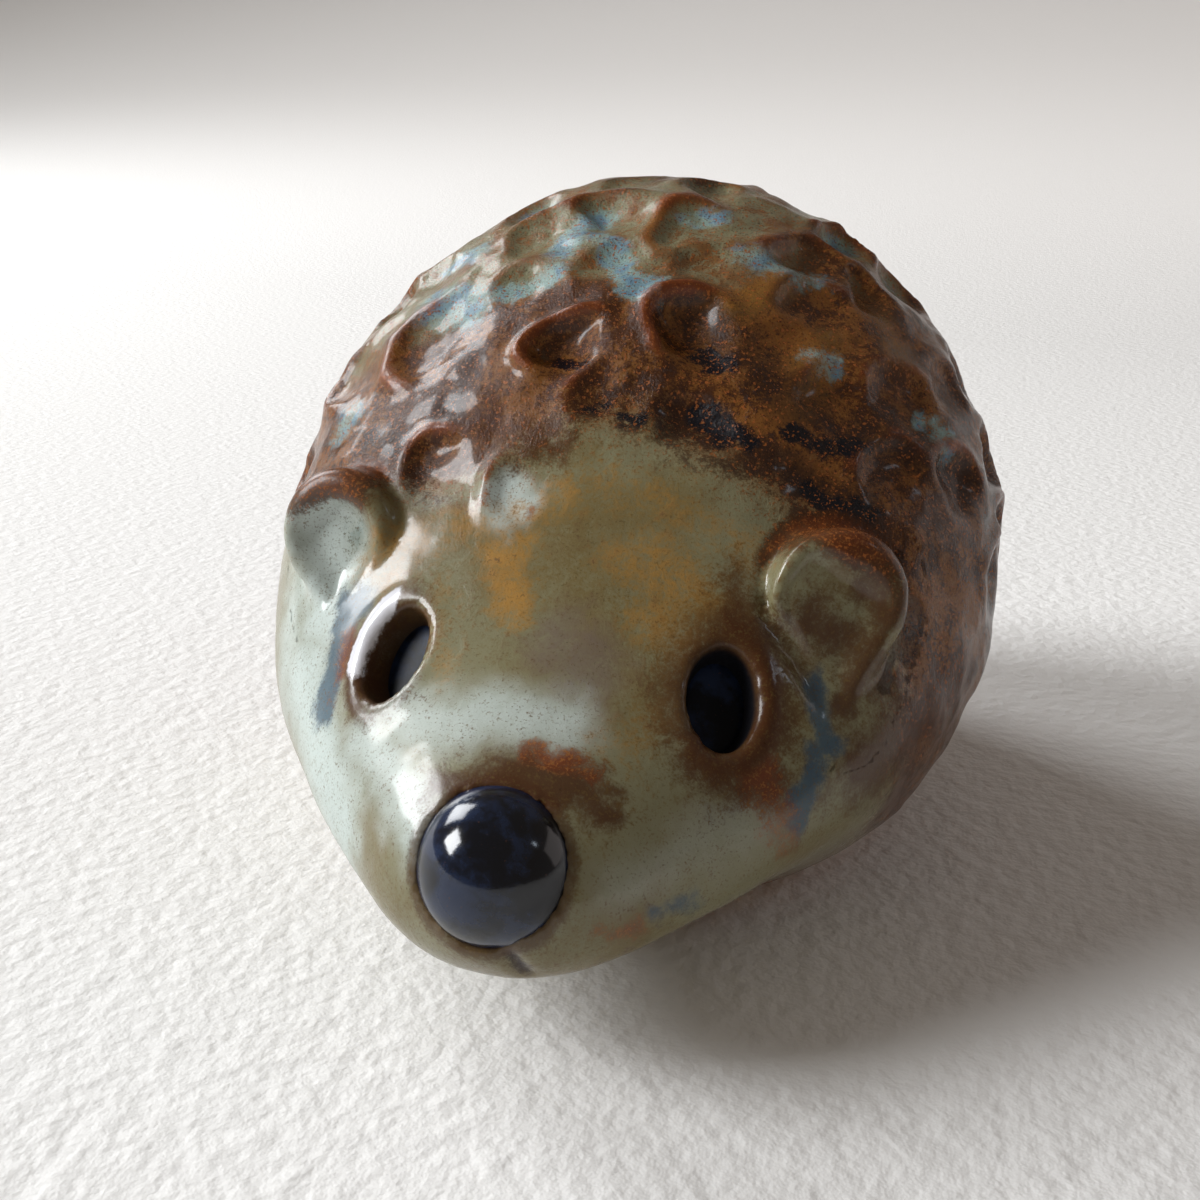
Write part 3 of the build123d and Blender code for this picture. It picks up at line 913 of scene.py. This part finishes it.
def glazeMaterial(name):
    shader = Shader(name)
    mix = shader.mix
    broad = shader.grain(8.0, 3.0, 0.5, 0.6)
    middle = shader.grain(1.9, 6.0, 0.68, 0.6)
    fine = shader.grain(0.45, 5.0, 0.72)
    grit = shader.grain(0.15, 2.0, 0.6)
    crumbs = shader.grain(0.26, 2.0, 0.6)
    value = {n: shader.value(n) for n in (
        "coat", "sink", "lip", "edge", "dish", "earTop", "socketRim", "socket", "halo", "paintedGleam",
        "crease", "seat", "foot", "inside", "thin", *washes)}
    coat, thin, dish, earTop = (value[n] for n in ("coat", "thin", "dish", "earTop"))
    # the same grains about zero, to tear the edges of what is laid on
    stir, dust, crumble = fine - 0.5, grit - 0.5, crumbs - 0.5
    torn = (middle - 0.5) * 0.9 + stir * 0.9 + dust * 0.5
    speckled = fine + dust * 1.2

    def lay(under, *coats):
        # each is a glaze, where it lies, the shares at which it starts and is full, and its strength
        for over, share, low, high, strength in coats:
            over = glaze[over] if isinstance(over, str) else over
            share = value[share] if isinstance(share, str) else share
            under = mix(under, over, (share + torn).between(low, high) * strength)
        return under

    # the face: celadon that thins to olive and ochre towards the coat
    colour = mix(glaze["celadon"], glaze["olive"], (broad + torn * 0.35).between(0.4, 0.66) * 0.7)
    # the lilac wash is painted reflection of the room in the glaze
    colour = lay(colour, ("olive", "olive", 0.0, 1.1, 0.9), ("lilacAndReflection", "lilacAndReflection", 0.1, 1.2, 0.75))
    # pale celadon, and painted sheen on the cheek and ear towards the windows
    colour = mix(colour, glaze["paleAndSheen"], (value["paleAndSheen"] + torn * 0.35).between(0.0, 1.05) * 0.9)
    colour = lay(colour, ("ochre", value["ochre"] + stir * 0.8, 0.2, 1.2, 0.85))
    # the coat: iron brown over it, dense with fine specks, thin on the crown
    clouds = broad * 0.6 + middle * 0.4 + torn * 0.6
    fur = mix(glaze["amber"], glaze["brown"], clouds.between(0.38, 0.56))
    fur = mix(fur, glaze["dark"], (middle + stir * 0.7).between(0.56, 0.72) * 0.7)
    fur = lay(fur, ("ochre", "ochre", 0.35, 1.2, 0.6))
    bald = mix(glaze["celadon"], glaze["amber"], (middle + torn * 0.5).between(0.42, 0.66) * 0.85)
    fur = lay(fur, (bald, thin - value["lip"] * 0.5 - value["edge"] * 0.5, 0.35, 0.9, 1.0))
    colour = lay(
        colour,
        (fur, coat, 0.2, 0.9, 1.0),
        ("brown", "brown", 0.1, 0.9, 0.9),
        ("dark", "dark", 0.2, 1.1, 0.8),
        ("dark", value["sink"] * coat - thin * 0.5, 0.6, 1.3, 0.45))
    # pools
    sky = (middle + (value["cool"] - 0.5) * 0.2).between(0.5, 0.68) * 0.8
    inEar = mix(glaze["lilacAndReflection"], glaze["aqua"], (dish + torn * 0.6).between(0.45, 1.0) * 0.7)
    colour = lay(
        colour,
        (mix(glaze["aqua"], glaze["sky"], sky), "cool", 0.3, 0.85, 0.85),
        (inEar, dish - value["paleAndSheen"] - value["brown"] * 0.8, 0.05, 0.7, 0.8),
        ("blue", "blue", 0.25, 1.0, 0.8),
        ("ink", "ink", 0.3, 0.7, 0.95))
    # edges where the glaze breaks to iron
    rust = mix(glaze["rust"], glaze["spark"], speckled.between(0.52, 0.72) * 0.8)
    colour = lay(
        colour,
        (rust, value["lip"] * 0.6 + value["edge"] * 0.4 + coat * 0.1, 0.35, 0.95, 0.8),
        ("brown", earTop, 0.1, 0.7, 0.9),
        (rust, earTop, 0.6, 1.3, 0.7),
        ("brown", "halo", 0.2, 1.0, 0.8),
        (rust, "rust", 0.2, 1.1, 0.8),
        ("brown", "socketRim", 0.1, 0.8, 0.9),
        # the mouth crease and the notch under the nose darkened: glaze gathered in them, and painted shade
        ("dark", "crease", 0.2, 0.75, 1.0),
        ("brown", "seat", 0.3, 1.0, 0.7),
        (rust, "foot", 0.3, 0.7, 0.9))
    # specks: dark iron everywhere, orange ones in the coat
    specks = grit + crumble * 0.5 + coat * 0.07 + dish * 0.05 + earTop * 0.05
    colour = mix(colour, glaze["dark"], specks.between(0.63, 0.71) * (0.3 + coat.clamped() * 0.45))
    colour = mix(colour, glaze["olive"], speckled.between(0.5, 0.8) * (1.0 - coat).clamped() * 0.4)
    sparks = (crumbs + dust * 0.6).between(0.6, 0.68) * (coat + earTop).clamped()
    colour = mix(colour, glaze["spark"], sparks * 0.55)
    # a socket's inside goes near-black: dark glaze there, and painted shade of the deep hole
    colour = mix(colour, glaze["ink"], value["socket"] * (0.97 - value["rust"] * 0.8).clamped())
    # painted highlight on one eye's rim, with a glossier coat where it lies
    colour = mix(colour, glaze["paintedGleam"], (value["paintedGleam"] + stir * 0.8).between(0.3, 0.7))
    colour = mix(colour, glaze["clay"], value["inside"])
    # the iron coat is a satin glaze, the celadon a clear one
    satin = (coat * 0.6 + earTop * 0.5 + value["paleAndSheen"] * 0.4 + stir * 0.8).clamped()
    gloss = 0.55 - value["socketRim"] * 0.3 - value["socket"] + dish * 0.5 + value["paintedGleam"]
    rough = 0.3 - coat * 0.12 + value["socket"] * 0.4 + stir * 0.2
    skinBump = shader.bump(fine + grit * 0.6, 0.1 + 0.45 * coat.clamped(), 0.00018)
    return shader.finish({
        "Base Color": colour,
        "Roughness": (rough + value["inside"] * 0.6).clamped(),
        "Specular IOR Level": 0.12,
        "Coat Weight": (gloss - satin * 0.5 - value["inside"]).clamped(),
        "Coat Roughness": 0.14,
        "Coat IOR": 1.5,
        "Normal": shader.bump(middle, 0.25, 0.0003, skinBump),
    })


def clayMaterial(name):
    # bare buff stoneware with iron specks, toasted where the glaze ends
    shader = Shader(name)
    broad = shader.grain(6.0, 4.0, 0.55, 0.4)
    fine = shader.grain(0.5, 4.0, 0.65)
    grit = shader.grain(0.16, 2.0, 0.6)
    clouds = (broad + (fine - 0.5) * 0.5).between(0.4, 0.62)
    colour = shader.mix(tone(196, 160, 118), tone(160, 112, 70), clouds)
    level = shader.add("ShaderNodeSeparateXYZ", None, {"Vector": shader.where}, output=2)
    colour = shader.mix(colour, tone(150, 84, 40), (level + (fine - 0.5) * 2.0).between(1.2, 1.8) * 0.9)
    colour = shader.mix(colour, tone(82, 50, 32), grit.between(0.62, 0.68) * 0.7)
    return shader.finish({
        "Base Color": colour,
        "Roughness": (fine * 0.3 + 0.6).clamped(),
        "Normal": shader.bump(fine + grit * 0.5, 0.4, 0.0002),
    })


def blackMaterial(name, dullness, shine):
    # black glaze, a little blue where it is thick, with a few dull specks
    shader = Shader(name)
    broad = shader.grain(3.0, 3.0, 0.5, 0.4)
    fine = shader.grain(0.5, 4.0, 0.65)
    grit = shader.grain(0.2, 2.0, 0.6)
    clouds = (broad + (fine - 0.5) * 0.3).between(0.42, 0.62)
    colour = shader.mix(tone(7, 10, 18), tone(26, 38, 62), clouds)
    colour = shader.mix(colour, tone(70, 46, 36), grit.between(0.68, 0.73) * 0.5)
    return shader.finish({
        "Base Color": colour,
        "Roughness": (dullness + fine * 0.07).clamped(),
        "Specular IOR Level": shine,
        "Normal": shader.bump(fine, 0.06, 0.0001),
    })


stoneware = glazeMaterial("breaking glaze")
bareClay = clayMaterial("bare stoneware")
blackGlaze = blackMaterial("black glaze", 0.08, 0.5)
darkPool = blackMaterial("dark pool", 0.35, 0.12)
print("glazes mixed")


def closeLoops(shape, facing, above=-1):
    # a lid over the open edges
    edges = [e for e in shape.edges if e.is_boundary and max(v.co.z for v in e.verts) > above]
    bmesh.ops.triangle_fill(shape, edges=edges, use_beauty=True, normal=facing)


def finishPiece(shape, name, material, nodes):
    # to metres, with the smooth shading that the skin had before it was cut into pieces
    layer = shape.verts.layers.float_vector.get("laid")
    normals = [Vector(v[layer]) for v in shape.verts] if layer else None
    if layer:
        shape.verts.layers.float_vector.remove(layer)
    bmesh.ops.scale(shape, vec=(millimetre,) * 3, verts=shape.verts)
    piece = asObject(shape, name)
    piece.data.materials.append(material)
    piece.data.polygons.foreach_set("use_smooth", [True] * len(piece.data.polygons))
    if normals:
        piece.data.normals_split_custom_set_from_vertices(normals)
    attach(piece, "root")
    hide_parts(*nodes)
    triangles = sum(len(p.vertices) - 2 for p in piece.data.polygons)
    print(name, "made:", triangles, "triangles")
    return piece


def keepNormals(shape, vertices):
    layer = shape.verts.layers.float_vector.get("laid") or shape.verts.layers.float_vector.new("laid")
    for vertex in vertices:
        vertex[layer] = vertex.normal


def facesNearEar(shape, side):
    reach, local = earReach(np.array([f.calc_center_median() for f in shape.faces]), side)
    about = (reach < ears["cutReach"]) & (np.abs(local[:, 2]) < ears["width"])
    return [f for f, chosen in zip(shape.faces, about) if chosen]


def scoreEar(shape, side):
    # the faces of an ear that stand clear of the head, cut off along a flat plane just above the skin
    along, turn, _, _ = ears["places"][side]
    point, normal = skinAt(along, turn)
    level = point + normal * ears["cutHeight"]
    close = facesNearEar(shape, side)
    corners, sides = [v for f in close for v in f.verts], [e for f in close for e in f.edges]
    nearby = list(dict.fromkeys(corners + sides + close))
    bmesh.ops.bisect_plane(shape, geom=nearby, plane_co=level, plane_no=normal, dist=1e-4)
    near = facesNearEar(shape, side)
    over = {f for f in near if (f.calc_center_median() - level).dot(normal) > 0}
    highest = max(over, key=lambda f: (f.calc_center_median() - level).dot(normal))
    found, edge = {highest}, [highest]
    while edge:
        beside = {g for f in edge for e in f.edges for g in e.link_faces}
        edge = list((beside & over) - found)
        found.update(edge)
    return found, normal


def hollowInside():
    # the space that the potter left inside, open to the slab
    rows = [row for row in form["rowShares"] if form["hollowFrom"] < row[0] < form["hollowTo"]]
    shape = clayForm(rows, form["wall"], 48, 64)
    cutLevel(shape, form["footLevel"], clear_inner=True)
    bmesh.ops.reverse_faces(shape, faces=shape.faces)
    return shape


def makeBody():
    body = softened(thrownBody())
    print("body remeshed:", len(body.verts), "points")
    values = sculpt(body)
    edge = np.clip(bending(body, bodyMesh["edgePasses"]) * bodyMesh["edgeGain"], -1, 1)
    values["edge"] = edge * (1 - values["seat"]) * (1 - values["socket"])
    heights = np.array([v.co.z for v in body.verts])
    upper, lower = form["rustBand"]
    values["foot"] = fade(heights, form["footLevel"] + upper, form["footLevel"] + lower)
    values["inside"] = np.zeros(len(heights))
    storeValues(body, values)
    print("body sculpted")
    cutLevel(body, form["footLevel"], clear_inner=True)
    cuts = {side: scoreEar(body, side) for side in (1, -1)}
    body.normal_update()
    keepNormals(body, body.verts)
    # a copy keeps the order of the faces, so an ear's faces are known by their numbers
    body.faces.index_update()
    numbers = {side: {f.index for f in cuts[side][0]} for side in cuts}
    for side, name in ((1, "Left"), (-1, "Right")):
        ear = body.copy()
        ear.faces.ensure_lookup_table()
        rest = [f for f in ear.faces if f.index not in numbers[side]]
        bmesh.ops.delete(ear, geom=rest, context="FACES")
        closeLoops(ear, -cuts[side][1])
        finishPiece(ear, "ear" + name, stoneware, ["ear_" + name.lower()])
    for side in cuts:
        bmesh.ops.delete(body, geom=sorted(cuts[side][0], key=lambda f: f.index), context="FACES")
        closeLoops(body, -cuts[side][1], form["footLevel"] + 0.01)
    hollow = hollowInside()
    hollow.normal_update()
    outside = set(body.verts)
    mesh = bpy.data.meshes.new("hollow")
    hollow.to_mesh(mesh)
    hollow.free()
    body.from_mesh(mesh)
    inside = [v for v in body.verts if v not in outside]
    keepNormals(body, inside)
    layer = body.verts.layers.float["inside"]
    for vertex in inside:
        vertex[layer] = 1
    closeLoops(body, Vector((0, 0, -1)))
    finishPiece(body, "glazedBody", stoneware, ["body_shell"])


makeBody()


def noseBall():
    # rolled between the fingers, so not quite round, and never larger than the clay it sits in
    shape = roundBall(96, 64, nose["radius"])
    for vertex in shape.verts:
        vertex.co *= 1 - nose["unevenness"] * (0.5 + 0.5 * noise.noise(vertex.co / nose["unevenSize"]))
    bmesh.ops.translate(shape, vec=noseCentre, verts=shape.verts)
    return shape


def glazePool(side):
    # the glaze that ran together on the floor of a socket, with a sunken surface
    shape = roundBall(48, 32)
    for vertex in shape.verts:
        if vertex.co.z > 0:
            outward = vertex.co.x ** 2 + vertex.co.y ** 2
            vertex.co.z *= eyes["poolDip"] + (1 - eyes["poolDip"]) * outward
    share = eyes["poolShare"]
    size = (eyes["width"] * share, eyes["height"] * share, eyes["poolThickness"] / 2)
    bmesh.ops.scale(shape, vec=size, verts=shape.verts)
    bmesh.ops.translate(shape, vec=(0, 0, eyes["poolLevel"]), verts=shape.verts)
    bmesh.ops.transform(shape, matrix=eyeFrames[side], verts=shape.verts)
    return shape


slab = {
    "voxel": 0.3,
    "softSteps": 8,
    "unevenness": 0.12,
    "unevenSize": 3.0,
}


def footSlab():
    # the bare clay slab that closes the body, with its vent
    shape = clayForm(form["rowShares"], form["footStep"], 100, 140)
    cutLevel(shape, 0, clear_inner=True)
    cutLevel(shape, form["footLevel"], clear_outer=True)
    bmesh.ops.holes_fill(shape, edges=[e for e in shape.edges if e.is_boundary], sides=0)
    bmesh.ops.recalc_face_normals(shape, faces=shape.faces)
    drill = bmesh.new()
    bmesh.ops.create_cone(drill, cap_ends=True, segments=48, radius1=form["ventRadius"],
                          radius2=form["ventRadius"], depth=4 * form["footLevel"])
    shape = combine(asObject(shape, "slab"), [asObject(drill, "drill")], "DIFFERENCE")
    rolled = asObject(shape, "rolled slab")
    evenFaces(rolled, slab["voxel"])
    rub(rolled, slab["softSteps"])
    shape = withModifiers(rolled)
    points = pointsOf(shape)
    low, high = points[:, 2].min(), points[:, 2].max()
    for vertex, lump in zip(shape.verts, ripple(points, slab["unevenSize"], 9)):
        outward = Vector((vertex.normal.x, vertex.normal.y, 0))
        vertex.co += outward * slab["unevenness"] * (lump - 0.5)
        vertex.co.z = (vertex.co.z - low) / (high - low) * form["footLevel"]
    return shape


finishPiece(noseBall(), "noseBall", blackGlaze, ["nose_ball"])
for side, name in ((1, "Left"), (-1, "Right")):
    finishPiece(glazePool(side), "eye" + name, darkPool, ["eye_" + name.lower()])
finishPiece(footSlab(), "footSlab", bareClay, ["foot_slab"])

stage = {
    "reach": 3200.0,
    "front": -1400.0,
    "bend": 220.0,          # flat up to here, then on a wide arc
    "flatShare": 0.25,      # of the rows of the sheet
    "arc": 3200.0,
    "swing": 62.0,
    "paper": tone(238, 237, 235),
}


def paperStage():
    # a sheet of rough white paper that curves up behind
    shape = bmesh.new()
    bmesh.ops.create_grid(shape, x_segments=2, y_segments=96, size=1)
    for vertex in shape.verts:
        run, flat = (vertex.co.y + 1) / 2, stage["flatShare"]
        swing = math.radians(stage["swing"]) * max(run - flat, 0) / (1 - flat)
        y = stage["front"] + (stage["bend"] - stage["front"]) * min(run / flat, 1)
        y += stage["arc"] * math.sin(swing)
        z = stage["arc"] * (1 - math.cos(swing))
        vertex.co = Vector((vertex.co.x * stage["reach"], y, z)) * millimetre
    bmesh.ops.recalc_face_normals(shape, faces=shape.faces)
    made = asObject(shape, "paperStage")
    made.data.polygons.foreach_set("use_smooth", [True] * len(made.data.polygons))
    shader = Shader("paper")
    tooth = shader.grain(1.3, 3.0, 0.5)
    felt = shader.grain(3.0, 2.0, 0.5)
    made.data.materials.append(shader.finish({
        "Base Color": (*stage["paper"], 1),
        "Roughness": 0.9,
        "Specular IOR Level": 0.2,
        "Normal": shader.bump(tooth + felt * 0.5, 0.35, 0.0008),
    }))


paperStage()

# Two windows at the animal's right: a large one, and a weaker one farther back that gives the shadow
# its second edge. The backdrop's light faces away from the animal.
daylight = (0.96, 0.98, 1.0)
lights = {
    "window": {"from": (-1280, -330, 800), "wide": 620, "high": 620, "power": 26.0, "colour": daylight},
    "farWindow": {"from": (-1130, 640, 780), "wide": 560, "high": 700, "power": 3.2, "spread": 90,
                  "colour": daylight},
    "backdrop": {"from": (300, 500, 900), "at": (700, 2600, 300), "wide": 1800, "high": 800,
                 "power": 6.0, "colour": (1.0, 0.98, 0.98)},
    "fill": {"from": (1500, 900, 500), "wide": 1500, "high": 900, "power": 3.0,
             "colour": (0.98, 0.90, 0.88)},
    "lamp": {"from": (757, 16, 653), "wide": 60, "high": 110, "power": 0.15, "colour": (0.75, 0.87, 1.0)},
}
room = {"colour": (1.0, 0.86, 0.74), "strength": 0.17}


def softLight(name):
    light = lights[name]
    data = bpy.data.lights.new(name, "AREA")
    data.shape = "RECTANGLE"
    data.size = light["wide"] * millimetre
    data.size_y = light["high"] * millimetre
    data.energy = light["power"]
    data.color = light["colour"]
    data.spread = math.radians(light.get("spread", 180))
    made = linked(name, data)
    place = Vector(light["from"])
    aim = (Vector(light.get("at", (0, 0, 15))) - place).to_track_quat("-Z", "Y")
    made.matrix_world = Matrix.Translation(place * millimetre) @ aim.to_matrix().to_4x4()


for name in lights:
    softLight(name)
world = bpy.data.worlds.new("room")
world.use_nodes = True
air = world.node_tree.nodes["Background"].inputs
air["Color"].default_value = (*room["colour"], 1)
air["Strength"].default_value = room["strength"]
bpy.context.scene.world = world
bpy.context.scene.view_settings.view_transform = "Standard"
print("stage and lights set")
